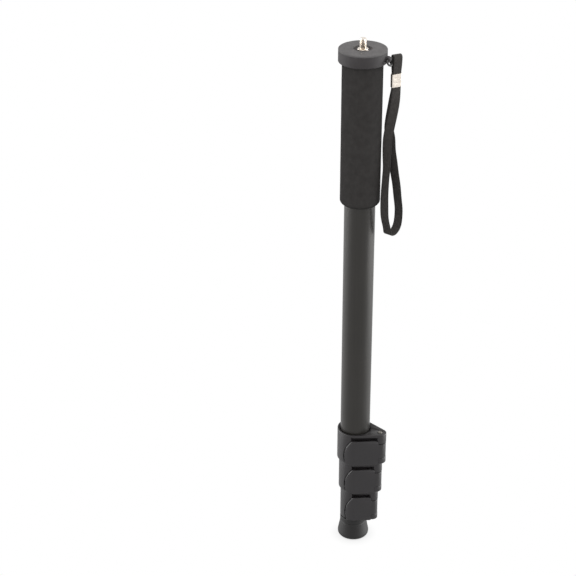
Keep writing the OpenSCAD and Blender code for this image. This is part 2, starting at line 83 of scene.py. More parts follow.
WEB_THICK = 1.2
TETHER_THICK = 1.8
CRIMP_PLACE = Vector((8, 7, -28))
CRIMP_TURN = math.radians(26)
CRIMP_HEIGHT = 12.3
CRIMP_WALL = 0.4
CRIMP_OUTER = (10, 3.9)

# Sizes of the frame's solids that their boxes don't give, in mm
GRIP_EDGE = 4
STUD_RADIUS = 3.175
FLANGE_THICK = 1.2
PIN_SHANK_RADIUS = 1.5
PIN_HEAD_THICK = 0.8
FOOT_EDGE = 3.5
FOOT_FLARE = 16
FOOT_GROOVE = 0.7
GLUE_LINE = 0.05

# Radii of the ring grooves in the sole, in mm
SOLE_RINGS = (3.6, 6.6, 9.6)

# Softboxes round the object: name, place and width in m, and whether it shows only in gloss, as the bright wall
# of a light tent does. The rest of the light is even
SOFTBOXES = (
    ("left_softbox", (-1.6, -0.25, 0.4), 1.2, True),
    ("right_softbox", (1.5, 0.75, 0.4), 1.2, True),
    ("front_softbox", (0.4, -1.5, 1.5), 1.4, False),
)
LIGHT_AIM = Vector((0, 0, 0.26))
SENSOR_WIDTH = 36

# White paper under the object: half its width in m, the share of its own glow, and the shade where the foot
# stands, with its reach in mm
PAPER_HALF = 8
PAPER_GLOW = 0.72
SHADE_REACH = 10
SHADE_DEPTH = 0.75


def linear(hex_colour):
    """Turns an sRGB hex value into the linear colour of a shader socket."""
    parts = [int(hex_colour[k:k + 2], 16) / 255 for k in (1, 3, 5)]
    curve = [c / 12.92 if c <= 0.04045 else ((c + 0.055) / 1.055) ** 2.4 for c in parts]
    return (*curve, 1.0)


def colour(label, words, value):
    """A colour that the user may change."""
    return bpy.props.FloatVectorProperty(
        name=label, description=words, subtype="COLOR", size=4, min=0, max=1, default=linear(value)
    )


def length(label, words, value):
    """A length that the user may change, given here in mm."""
    return bpy.props.FloatProperty(
        name=label, description=words, subtype="DISTANCE", unit="LENGTH", min=0, precision=5, default=value * MM
    )


def level(label, words, value, kind="NONE"):
    """A strength that the user may change."""
    return bpy.props.FloatProperty(name=label, description=words, subtype=kind, min=0, default=value)


class MonopodSizes(bpy.types.PropertyGroup):
    """Sizes of the detail that the frame leaves plain"""

    collar_round: length("Collar edges", "Radius of the clamp collars' moulded edges", 0.45)
    lever_round: length("Lever edges", "Radius of the levers' moulded edges", 0.3)
    head_round: length("Head edges", "Radius of the head disc's moulded edges", 0.35)
    thread_pitch: length("Thread pitch", "Rise of the camera screw's thread in one turn", 1.27)
    thread_depth: length("Thread depth", "Depth of the camera screw's thread", 0.75)
    foam_ripple: length("Foam ripple", "Height of the soft unevenness of the grip's foam", 0.12)
    weave_pitch: length("Weave", "Spacing of the ribs in the strap's webbing", 1.3)
    sole_groove: length("Sole grooves", "Depth of the rings in the foot's sole", 0.8)


class MonopodColours(bpy.types.PropertyGroup):
    """Colours of the finishes"""

    tube: colour("Tubes", "Anodised aluminium", "#2e2c29")
    foam: colour("Grip", "Closed-cell foam", "#464443")
    head: colour("Head disc", "Moulded head", "#4b4849")
    pad: colour("Head pad", "Anti-slip pad", "#6e6c6c")
    clamp: colour("Clamps", "Moulded clamp collars", "#211e20")
    lever: colour("Levers", "Moulded flip levers", "#211e20")
    inner: colour("Inner parts", "Bushes, brake shoes and plug", "#1d1d1e")
    nickel: colour("Bright metal", "Nickel plating", "#e8dfd4")
    zinc: colour("Hinge pins", "Dull zinc plating", "#77746f")
    foot: colour("Foot", "Moulded rubber", "#212020")
    webbing: colour("Webbing", "Woven wrist strap", "#4e4b49")
    tether: colour("Tether", "Thin cord between the head and the wrist strap", "#353433")


class MonopodStage(bpy.types.PropertyGroup):
    """Camera and light"""

    lens: level("Lens", "Focal length of the camera", 108.25, "DISTANCE_CAMERA")
    place: bpy.props.FloatVectorProperty(
        name="Camera place", description="Where the camera stands", subtype="TRANSLATION", unit="LENGTH",
        default=(0.4860, -1.3804, 1.0357),
    )
    turn: bpy.props.FloatVectorProperty(
        name="Camera turn", description="How the camera is turned", subtype="EULER", unit="ROTATION",
        default=(math.radians(62.7), 0, math.radians(22)),
    )
    sky: level("Sky", "Strength of the even light all round", 0.85, "FACTOR")
    left_lamp: level("Left lamp", "Power of the softbox at the left", 46, "POWER")
    right_lamp: level("Right lamp", "Power of the softbox at the right", 80, "POWER")
    front_lamp: level("Front lamp", "Power of the softbox over the camera", 4, "POWER")


def sizes():
    return bpy.context.scene.monopod_sizes


def colours():
    return bpy.context.scene.monopod_colours


# Materials


def add(tree, kind, sockets=None, **settings):
    """Adds a node, sets its options and fills its sockets with values or with other nodes' outputs.

    Sockets go by name or number. A map range has its two ranges at 1 to 4. A colour mix has its factor at 0, its
    colours at 6 and 7 and its result at 2.
    """
    made = tree.nodes.new(kind)
    for name, value in settings.items():
        setattr(made, name, value)
    for name, value in (sockets or {}).items():
        if isinstance(value, bpy.types.NodeSocket):
            tree.links.new(value, made.inputs[name])
        else:
            made.inputs[name].default_value = value
    return made


def new_material(name):
    """An empty material with its tree and the object's own coordinates."""
    material = bpy.data.materials.new(name)
    material.use_nodes = True
    tree = material.node_tree
    tree.nodes.clear()
    return material, tree, add(tree, "ShaderNodeTexCoord").outputs["Object"]


def times(base, factor):
    """A colour made darker or lighter."""
    return (*(min(1.0, c * factor) for c in base[:3]), 1.0)


def anodised_aluminium(name, base):
    # Drawn tube with a dyed, satin anodised skin: fine lines run along it and the gloss is broad and soft
    material, tree, place = new_material(name)
    line_width, line_length, cloud_size = 0.9 * MM, 70 * MM, 35 * MM
    stretch = (1 / line_width, 1 / line_width, 1 / line_length)
    drawn = add(tree, "ShaderNodeMapping", {"Vector": place, "Scale": stretch})
    lines = add(tree, "ShaderNodeTexNoise", {"Vector": drawn.outputs[0], "Scale": 1.0, "Detail": 3.0})
    cloud = add(tree, "ShaderNodeTexNoise", {"Vector": place, "Scale": 1 / cloud_size, "Detail": 2.0})
    both = add(tree, "ShaderNodeMath", {0: lines.outputs[0], 1: cloud.outputs[0]}, operation="ADD")
    spread = add(tree, "ShaderNodeMapRange", {0: both.outputs[0], 1: 0.7, 2: 1.3})
    shades = {0: spread.outputs[0], 6: times(base, 0.9), 7: times(base, 1.1)}
    tone = add(tree, "ShaderNodeMix", shades, data_type="RGBA")
    gloss = add(tree, "ShaderNodeMapRange", {0: lines.outputs[0], 3: 0.32, 4: 0.44})
    bump = add(tree, "ShaderNodeBump", {"Height": lines.outputs[0], "Strength": 0.12, "Distance": 0.02 * MM})
    shader = add(tree, "ShaderNodeBsdfPrincipled", {
        "Base Color": tone.outputs[2], "Roughness": gloss.outputs[0], "Metallic": 0.3, "Normal": bump.outputs[0],
    })
    add(tree, "ShaderNodeOutputMaterial", {"Surface": shader.outputs[0]})
    return material


def moulded_plastic(name, base, roughness=0.5, grain=0.5, shine=0.5):
    # Glass-filled nylon from a spark-eroded mould: an even fine grain, and sharp edges painted lighter, partly as
    # wear from handling and partly as painted highlight along the rims.
    # The real grain is about 0.1 mm, and is drawn coarser so that it shows
    material, tree, place = new_material(name)
    flow_size = 9 * MM
    pits = add(tree, "ShaderNodeTexNoise", {"Vector": place, "Scale": 1 / (grain * MM), "Detail": 2.0})
    flow = add(tree, "ShaderNodeTexNoise", {"Vector": place, "Scale": 1 / flow_size, "Detail": 3.0})
    wear_and_highlight_mask = add(tree, "ShaderNodeNewGeometry").outputs["Pointiness"]
    edge = add(tree, "ShaderNodeMapRange", {0: wear_and_highlight_mask, 1: 0.52, 2: 0.6})
    cloud = add(tree, "ShaderNodeMapRange", {0: flow.outputs[0], 1: 0.3, 2: 0.7})
    shades = {0: cloud.outputs[0], 6: times(base, 0.92), 7: times(base, 1.08)}
    body = add(tree, "ShaderNodeMix", shades, data_type="RGBA")
    # Sharp convex edges are painted lighter: partly wear, partly painted highlight on the rims
    rubbed_and_highlit = {0: edge.outputs[0], 6: body.outputs[2], 7: times(base, 1.5)}
    tone = add(tree, "ShaderNodeMix", rubbed_and_highlit, data_type="RGBA")
    gloss = add(tree, "ShaderNodeMapRange", {0: flow.outputs[0], 3: roughness - 0.05, 4: roughness + 0.07})
    bump = add(tree, "ShaderNodeBump", {"Height": pits.outputs[0], "Strength": 0.25, "Distance": 0.05 * MM})
    shader = add(tree, "ShaderNodeBsdfPrincipled", {
        "Base Color": tone.outputs[2], "Roughness": gloss.outputs[0], "Specular IOR Level": shine,
        "Normal": bump.outputs[0],
    })
    add(tree, "ShaderNodeOutputMaterial", {"Surface": shader.outputs[0]})
    return material


def closed_cell_foam(name, base):
    # Ground neoprene foam: dull and dark, with open pores of about half a millimetre that are painted darker, as
    # painted shade inside the open cells
    material, tree, place = new_material(name)
    pore_size, patch_size, grit_size = 0.7 * MM, 6 * MM, 0.35 * MM
    pores = add(tree, "ShaderNodeTexVoronoi", {"Vector": place, "Scale": 1 / pore_size}).outputs["Distance"]
    patches = add(tree, "ShaderNodeTexNoise", {"Vector": place, "Scale": 1 / patch_size, "Detail": 4.0})
    fine = add(tree, "ShaderNodeTexNoise", {"Vector": place, "Scale": 1 / grit_size, "Detail": 2.0})
    cloud = add(tree, "ShaderNodeMapRange", {0: patches.outputs[0], 1: 0.3, 2: 0.7})
    shades = {0: cloud.outputs[0], 6: times(base, 0.88), 7: times(base, 1.12)}
    body = add(tree, "ShaderNodeMix", shades, data_type="RGBA")
    # The pores are painted darker: painted shade inside the open cells
    pit = add(tree, "ShaderNodeMapRange", {0: pores, 2: 0.35})
    pore_shaded = {0: pit.outputs[0], 6: times(base, 0.7), 7: body.outputs[2]}
    tone = add(tree, "ShaderNodeMix", pore_shaded, data_type="RGBA")
    rough = add(tree, "ShaderNodeMath", {0: pores, 1: fine.outputs[0]}, operation="ADD")
    bump = add(tree, "ShaderNodeBump", {"Height": rough.outputs[0], "Strength": 0.5, "Distance": 0.15 * MM})
    shader = add(tree, "ShaderNodeBsdfPrincipled", {
        "Base Color": tone.outputs[2], "Roughness": 0.95, "Specular IOR Level": 0.05, "Normal": bump.outputs[0],
    })
    add(tree, "ShaderNodeOutputMaterial", {"Surface": shader.outputs[0]})
    return material


def moulded_rubber(name, base, roughness, shine):
    # Natural rubber from a plain mould: dull, slightly chalky, with a faint bloom
    material, tree, place = new_material(name)
    bloom_size, grit_size = 7 * MM, 0.4 * MM
    bloom = add(tree, "ShaderNodeTexNoise", {"Vector": place, "Scale": 1 / bloom_size, "Detail": 5.0})
    grit = add(tree, "ShaderNodeTexNoise", {"Vector": place, "Scale": 1 / grit_size, "Detail": 2.0})
    cloud = add(tree, "ShaderNodeMapRange", {0: bloom.outputs[0], 1: 0.3, 2: 0.7})
    shades = {0: cloud.outputs[0], 6: times(base, 0.9), 7: times(base, 1.15)}
    tone = add(tree, "ShaderNodeMix", shades, data_type="RGBA")
    gloss = add(tree, "ShaderNodeMapRange", {0: bloom.outputs[0], 3: roughness - 0.08, 4: roughness + 0.1})
    bump = add(tree, "ShaderNodeBump", {"Height": grit.outputs[0], "Strength": 0.25, "Distance": 0.06 * MM})
    shader = add(tree, "ShaderNodeBsdfPrincipled", {
        "Base Color": tone.outputs[2], "Roughness": gloss.outputs[0], "Specular IOR Level": shine,
        "Normal": bump.outputs[0],
    })
    add(tree, "ShaderNodeOutputMaterial", {"Surface": shader.outputs[0]})
    return material


def plated_steel(name, base, roughness):
    # Steel plated in a barrel, with a fine tumbled haze: nickel is bright and slightly warm, zinc duller and greyer
    material, tree, place = new_material(name)
    haze_size = 1.5 * MM
    haze = add(tree, "ShaderNodeTexNoise", {"Vector": place, "Scale": 1 / haze_size, "Detail": 4.0})
    cloud = add(tree, "ShaderNodeMapRange", {0: haze.outputs[0], 1: 0.3, 2: 0.7})
    shades = {0: cloud.outputs[0], 6: times(base, 0.88), 7: times(base, 1.04)}
    tone = add(tree, "ShaderNodeMix", shades, data_type="RGBA")
    gloss = add(tree, "ShaderNodeMapRange", {0: haze.outputs[0], 3: roughness - 0.06, 4: roughness + 0.1})
    bump = add(tree, "ShaderNodeBump", {"Height": haze.outputs[0], "Strength": 0.08, "Distance": 0.05 * MM})
    shader = add(tree, "ShaderNodeBsdfPrincipled", {
        "Base Color": tone.outputs[2], "Roughness": gloss.outputs[0], "Metallic": 1.0, "Normal": bump.outputs[0],
    })
    add(tree, "ShaderNodeOutputMaterial", {"Surface": shader.outputs[0]})
    return material


def woven_polyester(name, base, pitch):
    # Flat braid of polyester yarn: chevron ribs that meet on the middle line, and tight darker selvedges.
    # The map runs across the webbing in U and along it in V, both in metres
    material, tree, _ = new_material(name)
    yarn_width, fuzz_size, rib_slant = 0.55 * MM, 3 * MM, 1.2
    selvedge = (0.38 * WEB_WIDTH * MM, 0.47 * WEB_WIDTH * MM)
    cloth = add(tree, "ShaderNodeUVMap", uv_map="weave").outputs[0]
    split = add(tree, "ShaderNodeSeparateXYZ", {0: cloth})
    across = add(tree, "ShaderNodeMath", {0: split.outputs[0]}, operation="ABSOLUTE").outputs[0]
    slant = add(tree, "ShaderNodeMath", {0: across, 1: rib_slant, 2: split.outputs[1]}, operation="MULTIPLY_ADD")
    turns = add(tree, "ShaderNodeMath", {0: slant.outputs[0], 1: 2 * math.pi / pitch}, operation="MULTIPLY")
    ribs = add(tree, "ShaderNodeMath", {0: turns.outputs[0]}, operation="SINE").outputs[0]
    yarns = add(tree, "ShaderNodeMath", {0: across, 1: 2 * math.pi / yarn_width}, operation="MULTIPLY")
    yarn = add(tree, "ShaderNodeMath", {0: yarns.outputs[0]}, operation="SINE").outputs[0]
    weave = add(tree, "ShaderNodeMath", {0: yarn, 1: 0.5, 2: ribs}, operation="MULTIPLY_ADD").outputs[0]
    fuzz = add(tree, "ShaderNodeTexNoise", {"Vector": cloth, "Scale": 1 / fuzz_size, "Detail": 4.0})
    mixed = add(tree, "ShaderNodeMath", {0: weave, 1: 0.2, 2: fuzz.outputs[0]}, operation="MULTIPLY_ADD")
    cloud = add(tree, "ShaderNodeMapRange", {0: mixed.outputs[0], 1: 0.2, 2: 0.8})
    shades = {0: cloud.outputs[0], 6: times(base, 0.72), 7: times(base, 1.25)}
    body = add(tree, "ShaderNodeMix", shades, data_type="RGBA")
    edge = add(tree, "ShaderNodeMapRange", {0: across, 1: selvedge[0], 2: selvedge[1]})
    edged = {0: edge.outputs[0], 6: body.outputs[2], 7: times(base, 0.6)}
    tone = add(tree, "ShaderNodeMix", edged, data_type="RGBA")
    bump = add(tree, "ShaderNodeBump", {"Height": weave, "Strength": 0.6, "Distance": 0.12 * MM})
    shader = add(tree, "ShaderNodeBsdfPrincipled", {
        "Base Color": tone.outputs[2], "Roughness": 0.82, "Specular IOR Level": 0.1, "Sheen Weight": 0.05,
        "Normal": bump.outputs[0],
    })
    add(tree, "ShaderNodeOutputMaterial", {"Surface": shader.outputs[0]})
    return material


def twisted_nylon(name, base):
    # Thin laid nylon cord: strands run slanting round it; the colour follows the lay, painted lighter on each strand
    # as painted highlight and darker between strands as painted shade.
    # The wave texture has a factor of its own, which the scale takes out
    material, tree, place = new_material(name)
    lay_pitch, wave_factor = 1.1 * MM, 20
    waves = {"Vector": place, "Scale": 1 / lay_pitch / wave_factor, "Distortion": 2.0, "Detail": 2.0}
    lay = add(tree, "ShaderNodeTexWave", waves, bands_direction="DIAGONAL").outputs[1]
    # Painted highlight on the strands and painted shade in the grooves between them
    tone = add(tree, "ShaderNodeMix", {0: lay, 6: times(base, 0.5), 7: base}, data_type="RGBA")
    bump = add(tree, "ShaderNodeBump", {"Height": lay, "Strength": 0.6, "Distance": 0.15 * MM})
    shader = add(tree, "ShaderNodeBsdfPrincipled", {
        "Base Color": tone.outputs[2], "Roughness": 0.7, "Normal": bump.outputs[0],
    })
    add(tree, "ShaderNodeOutputMaterial", {"Surface": shader.outputs[0]})
    return material


def finish(name):
    """The finish of that name, made once."""
    found = bpy.data.materials.get(name)
    if found:
        return found
    c = colours()
    makers = {
        "satin_anodised_tube": lambda: anodised_aluminium(name, c.tube),
        "ground_neoprene_foam": lambda: closed_cell_foam(name, c.foam),
        "grained_nylon_head": lambda: moulded_plastic(name, c.head, 0.75, shine=0.2),
        "grained_nylon_clamp": lambda: moulded_plastic(name, c.clamp, 0.5),
        "grained_nylon_lever": lambda: moulded_plastic(name, c.lever, 0.46),
        "plain_acetal": lambda: moulded_plastic(name, c.inner, 0.4, 0.8),
        "rubber_pad": lambda: moulded_rubber(name, c.pad, 0.75, 0.2),
        "rubber_foot": lambda: moulded_rubber(name, c.foot, 0.6, 0.35),
        "bright_nickel": lambda: plated_steel(name, c.nickel, 0.24),
        "dull_zinc": lambda: plated_steel(name, c.zinc, 0.45),
        "woven_polyester": lambda: woven_polyester(name, c.webbing, sizes().weave_pitch),
        "twisted_nylon": lambda: twisted_nylon(name, c.tether),
    }
    return makers[name]()


def dress(node, name):
    """Gives a CAD node its finish."""
    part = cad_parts[node]
    if not part.material_slots:
        part.data.materials.append(None)
    for held in part.material_slots:
        held.material = finish(name)


# Shapes


def set_down(bm, name, body, look, slot, *nodes, angle=40):
    """Makes an object of a bmesh, with its finish, its body and the nodes it stands for; the slot is not used."""
    bmesh.ops.triangulate(bm, faces=[f for f in bm.faces if len(f.verts) > 4])
    mesh = bpy.data.meshes.new(name)
    bm.to_mesh(mesh)
    bm.free()
    piece = bpy.data.objects.new(name, mesh)
    bpy.context.scene.collection.objects.link(piece)
    mesh.materials.append(finish(look))
    mesh.shade_smooth()
    mesh.set_sharp_from_angle(angle=math.radians(angle))
    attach(piece, body)
    if nodes:
        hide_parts(*nodes)
    return piece


def filleted(corners, steps=6):
    """Points along (radius, height, fillet) corners, with each corner rounded by its fillet."""
    line = []
    for k, (r, z, fillet) in enumerate(corners):
        here = Vector((r, z))
        if not fillet:
            line.append(here)
            continue
        to_last = (Vector(corners[k - 1][:2]) - here).normalized()
        to_next = (Vector(corners[(k + 1) % len(corners)][:2]) - here).normalized()
        half = to_last.angle(to_next) / 2
        centre = here + (to_last + to_next).normalized() * (fillet / math.sin(half))
        first = here + to_last * (fillet / math.tan(half)) - centre
        last = here + to_next * (fillet / math.tan(half)) - centre
        for s in range(steps + 1):
            line.append(centre + first.lerp(last, s / steps).normalized() * fillet)
    return line


def turned(bm, profile, steps, centre=(0, 0), ring=False):
    """Spins a profile of (radius, height) points, in mm, about an upright axis. A ring's profile is closed."""
    made = [bm.verts.new(((centre[0] + r) * MM, centre[1] * MM, z * MM)) for r, z in profile]
    pairs = list(zip(made, made[1:]))
    if ring:
        pairs.append((made[-1], made[0]))
    edges = [bm.edges.new(pair) for pair in pairs]
    bmesh.ops.spin(
        bm, geom=made + edges, cent=(centre[0] * MM, centre[1] * MM, 0), axis=(0, 0, 1),
        angle=2 * math.pi, steps=steps, use_merge=True,
    )
    bmesh.ops.remove_doubles(bm, verts=bm.verts, dist=0.0005 * MM)
    bmesh.ops.recalc_face_normals(bm, faces=bm.faces)


def low_high(node):
    """A CAD node's box in mm."""
    low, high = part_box(node)
    return Vector(low) / MM, Vector(high) / MM


def faces_out(edge):
    """Whether an edge looks away from the column's axis."""
    middle = (edge.verts[0].co + edge.verts[1].co).xy
    return middle.dot(sum((f.normal for f in edge.link_faces), Vector()).xy) > 0


def softened(node, radius, segments=3):
    """A copy of a CAD node with its triangles joined, and rounded along the outer edges that have room for it."""
    weld, sliver = 0.02 * MM, 0.12 * MM
    flat, corner = math.radians(0.6), math.radians(35)
    bm = bmesh.new()
    bm.from_mesh(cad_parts[node].data)
    bmesh.ops.remove_doubles(bm, verts=bm.verts, dist=weld)
    bmesh.ops.dissolve_limit(bm, angle_limit=flat, verts=bm.verts, edges=bm.edges)
    bmesh.ops.dissolve_degenerate(bm, dist=sliver, edges=bm.edges)
    sharp = {e for e in bm.edges if e.is_manifold and e.calc_face_angle() > corner}
    room = {v: min((e.calc_length() for e in v.link_edges if e not in sharp), default=1) for v in bm.verts}
    needed = 1.2 * radius
    outer = [e for e in sharp if e.is_convex and faces_out(e) and min(room[v] for v in e.verts) > needed]
    bmesh.ops.bevel(
        bm, geom=outer, offset=radius, offset_type="OFFSET", segments=segments, profile=0.5, affect="EDGES",
        clamp_overlap=False, material=-1,
    )
    return bm


def along(route, t):
    """Point of the smooth curve through a route, with one unit of t for each stretch."""
    last = len(route) - 1
    k = min(int(t), last - 1)
    s = t - k
    a, b, c, d = (Vector(route[j]) for j in (max(k - 1, 0), k, k + 1, min(k + 2, last)))
    return b + s * ((c - a) / 2 + s * (a - 2.5 * b + 2 * c - d / 2 + s * (1.5 * (b - c) + (d - a) / 2)))


def smooth_line(route, steps):
    """Points of a route with that many steps for each stretch."""
    return [along(route, j / steps) for j in range(steps * (len(route) - 1) + 1)]


def line_length(points):
    return sum((b - a).length for a, b in zip(points, points[1:]))


# Operators


class MONOPOD_OT_stage(bpy.types.Operator):
    """Sets up the camera, the pale floor and the soft light"""

    bl_idname = "monopod.stage"
    bl_label = "Stage"

    def execute(self, context):
        scene = context.scene
        props = scene.monopod_stage
        scene.view_settings.view_transform = "Standard"
        lens = bpy.data.cameras.new("camera")
        lens.lens = props.lens
        lens.sensor_width = SENSOR_WIDTH
        camera = bpy.data.objects.new("camera", lens)
        camera.location = props.place
        camera.rotation_euler = props.turn
        scene.collection.objects.link(camera)
        scene.camera = camera
        self.sky(scene, props.sky)
        self.floor(scene)
        powers = (props.left_lamp, props.right_lamp, props.front_lamp)
        for (name, place, width, gloss_only), power in zip(SOFTBOXES, powers):
            light = bpy.data.lights.new(name, "AREA")
            light.size = width
            light.energy = power
            lamp = bpy.data.objects.new(name, light)
            lamp.location = place
            lamp.rotation_euler = (LIGHT_AIM - Vector(place)).to_track_quat("-Z", "Y").to_euler()
            lamp.visible_diffuse = not gloss_only
            scene.collection.objects.link(lamp)
        return {"FINISHED"}

    def seen(self, tree):
        """1 for what the camera sees itself, in gloss or through a clear piece, and 0 for the light that falls."""
        path = add(tree, "ShaderNodeLightPath").outputs
        straight = {0: path["Is Camera Ray"], 1: path["Is Glossy Ray"]}
        gloss = add(tree, "ShaderNodeMath", straight, operation="MAXIMUM")
        through = {0: gloss.outputs[0], 1: path["Is Transmission Ray"]}
        return add(tree, "ShaderNodeMath", through, operation="MAXIMUM").outputs[0]

    def sky(self, scene, strength):
        """Even light all round, and white behind the object."""
        world = bpy.data.worlds.new("sky")
        world.use_nodes = True
        tree = world.node_tree
        tree.nodes.clear()
        glow = add(tree, "ShaderNodeMapRange", {0: self.seen(tree), 3: strength, 4: 1.0})
        back = add(tree, "ShaderNodeBackground", {"Color": (1, 1, 1, 1), "Strength": glow.outputs[0]})
        add(tree, "ShaderNodeOutputWorld", {"Surface": back.outputs[0]})
        scene.world = world

    def floor(self, scene):
        """White paper, which throws light back at the object.

        The camera looks through it to the white beyond, so that it hides no section drawn out below it, and sees
        only the soft shade where the foot stands.
        """
        bm = bmesh.new()
        bmesh.ops.create_grid(bm, x_segments=1, y_segments=1, size=PAPER_HALF)
        mesh = bpy.data.meshes.new("floor")
        bm.to_mesh(mesh)
        bm.free()
        floor = bpy.data.objects.new("floor", mesh)
        floor.visible_shadow = False
        scene.collection.objects.link(floor)
        material, tree, _ = new_material("white_paper")
        paper = add(tree, "ShaderNodeBsdfDiffuse", {"Color": linear("#e6e6e6")})
        glow = add(tree, "ShaderNodeEmission", {"Strength": self.seen(tree)})
        both = add(tree, "ShaderNodeMixShader", {0: PAPER_GLOW, 1: paper.outputs[0], 2: glow.outputs[0]})
        shade = add(tree, "ShaderNodeAmbientOcclusion", {"Distance": SHADE_REACH * MM}).outputs["AO"]
        faint = add(tree, "ShaderNodeMapRange", {0: shade, 3: SHADE_DEPTH, 4: 1.0})
        clear = add(tree, "ShaderNodeBsdfTransparent", {"Color": faint.outputs[0]})
        looked = add(tree, "ShaderNodeLightPath").outputs["Is Camera Ray"]
        sheet = add(tree, "ShaderNodeMixShader", {0: looked, 1: both.outputs[0], 2: clear.outputs[0]})
        add(tree, "ShaderNodeOutputMaterial", {"Surface": sheet.outputs[0]})
        mesh.materials.append(material)


class MONOPOD_OT_strap(bpy.types.Operator):
    """Makes the wrist strap: tether cord, folded webbing and its metal crimp"""

    bl_idname = "monopod.strap"
    bl_label = "Wrist strap"

    def execute(self, context):
        crimp = self.crimp()
        self.tether()
        self.webbing(crimp)
        return {"FINISHED"}

    def tether(self):
        points = [(EYE + p) * MM for p in smooth_line(TETHER_ROUTE, 6)]
        curve = bpy.data.curves.new("tether", "CURVE")
        curve.dimensions = "3D"
        curve.bevel_depth = TETHER_THICK / 2 * MM
        curve.bevel_resolution = 3
        curve.use_fill_caps = True
        spline = curve.splines.new("POLY")
        spline.points.add(len(points) - 1)
        for point, place in zip(spline.points, points):
            point.co = (*place, 1)
        piece = bpy.data.objects.new("tether", curve)
        bpy.context.scene.collection.objects.link(piece)
        curve.materials.append(finish("twisted_nylon"))
        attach(piece, "strap")
        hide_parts("strap_tether")

    def webbing(self, crimp):
        steps = 8
        turn = Matrix.Rotation(STRAP_TURN, 3, "Z")
        line = smooth_line(WEB_ROUTE, steps)
        places = [turn @ p.xyz for p in line]
        # A quarter of the section, from the middle of the face to the rounded selvedge, then the rest by mirroring
        half_w, half_t = WEB_WIDTH / 2, WEB_THICK / 2
        quarter = [
            (0, half_t), (0.45 * half_w, half_t), (0.8 * half_w, half_t),
            (half_w - 0.35, half_t * 0.95), (half_w - 0.08, half_t * 0.6), (half_w, 0),
        ]
        right = quarter + [(x, -y) for x, y in quarter[-2::-1]]
        section = right + [(-x, y) for x, y in right[-2:0:-1]]
        bm = bmesh.new()
        weave = bm.loops.layers.uv.new("weave")
        rings, run = [], [0.0]
        for j, place in enumerate(places):
            ahead = (places[min(j + 1, len(places) - 1)] - places[max(j - 1, 0)]).normalized()
            twist = math.radians(line[j][3])
            flat = turn @ Vector((math.cos(twist), math.sin(twist), 0))
            wide = (flat - flat.dot(ahead) * ahead).normalized()
            thick = ahead.cross(wide)
            rings.append([bm.verts.new((EYE + place + x * wide + y * thick) * MM) for x, y in section])
            if j:
                run.append(run[-1] + (place - places[j - 1]).length)
        for j, (low, high) in enumerate(zip(rings, rings[1:])):
            for k in range(len(section)):
                n = (k + 1) % len(section)
                face = bm.faces.new((low[k], low[n], high[n], high[k]))
                across = (section[k][0], section[n][0], section[n][0], section[k][0])
                for loop, u, v in zip(face.loops, across, (run[j], run[j], run[j + 1], run[j + 1])):
                    loop[weave].uv = (u * MM, v * MM)
        bm.faces.new(rings[0])
        bm.faces.new(rings[-1])
        bmesh.ops.recalc_face_normals(bm, faces=bm.faces)
        piece = set_down(bm, "webbing", "strap", "woven_polyester", "strap_webbing", "strap_webbing", angle=60)

    def crimp(self):
        """Sheet-metal band bent round both layers, closed by a butt seam at the back and pinched twice."""
        wide, deep = CRIMP_OUTER
        corner, seam = 0.9, 0.12
        pinch_depth, pinch_reach, pinch_width = 0.22, 0.8, 0.42 * wide
        pinch_levels = (0.3 * CRIMP_HEIGHT, 0.7 * CRIMP_HEIGHT)
        outline = filleted([
            (seam, deep / 2, 0), (wide / 2, deep / 2, corner), (wide / 2, -deep / 2, corner),
            (-wide / 2, -deep / 2, corner), (-wide / 2, deep / 2, corner), (-seam, deep / 2, 0),
        ])
        bm = bmesh.new()
        made = [bm.verts.new((p.x * MM, p.y * MM, 0)) for p in outline]
        edges = [bm.edges.new(pair) for pair in zip(made, made[1:])]
        long_edges = [e for e in edges if e.calc_length() > 1.5 * MM]
        bmesh.ops.subdivide_edges(bm, edges=long_edges, cuts=7)
        rise = bmesh.ops.extrude_edge_only(bm, edges=bm.edges[:])
        top = [v for v in rise["geom"] if isinstance(v, bmesh.types.BMVert)]
        bmesh.ops.translate(bm, verts=top, vec=(0, 0, CRIMP_HEIGHT * MM))
        upright = [e for e in bm.edges if abs(e.verts[0].co.z - e.verts[1].co.z) > MM]
        bmesh.ops.subdivide_edges(bm, edges=upright, cuts=23)
        for v in bm.verts:
            for height in pinch_levels:
                pinch = math.exp(-((v.co.z / MM - height) / pinch_reach) ** 2)
                middle = max(0.0, 1 - (abs(v.co.x) / MM / pinch_width) ** 4)
                v.co.y -= math.copysign(pinch_depth * pinch * middle, v.co.y) * MM
        bmesh.ops.recalc_face_normals(bm, faces=bm.faces)
        # The band is open, so its normals are turned outward before it gets its wall
        outward = sum(f.normal.xy.dot(f.calc_center_median().xy) for f in bm.faces)
        if outward < 0:
            bmesh.ops.reverse_faces(bm, faces=bm.faces)
        bmesh.ops.solidify(bm, geom=bm.faces[:], thickness=CRIMP_WALL * MM)
        bmesh.ops.recalc_face_normals(bm, faces=bm.faces)
        turn = Matrix.Rotation(STRAP_TURN, 4, "Z")
        place = Matrix.Translation(EYE * MM) @ turn @ Matrix.Translation(CRIMP_PLACE * MM)
        bmesh.ops.transform(bm, matrix=place @ Matrix.Rotation(CRIMP_TURN, 4, "Z"), verts=bm.verts)
        return set_down(bm, "crimp", "strap", "bright_nickel", "bright_metal", "strap_crimp")


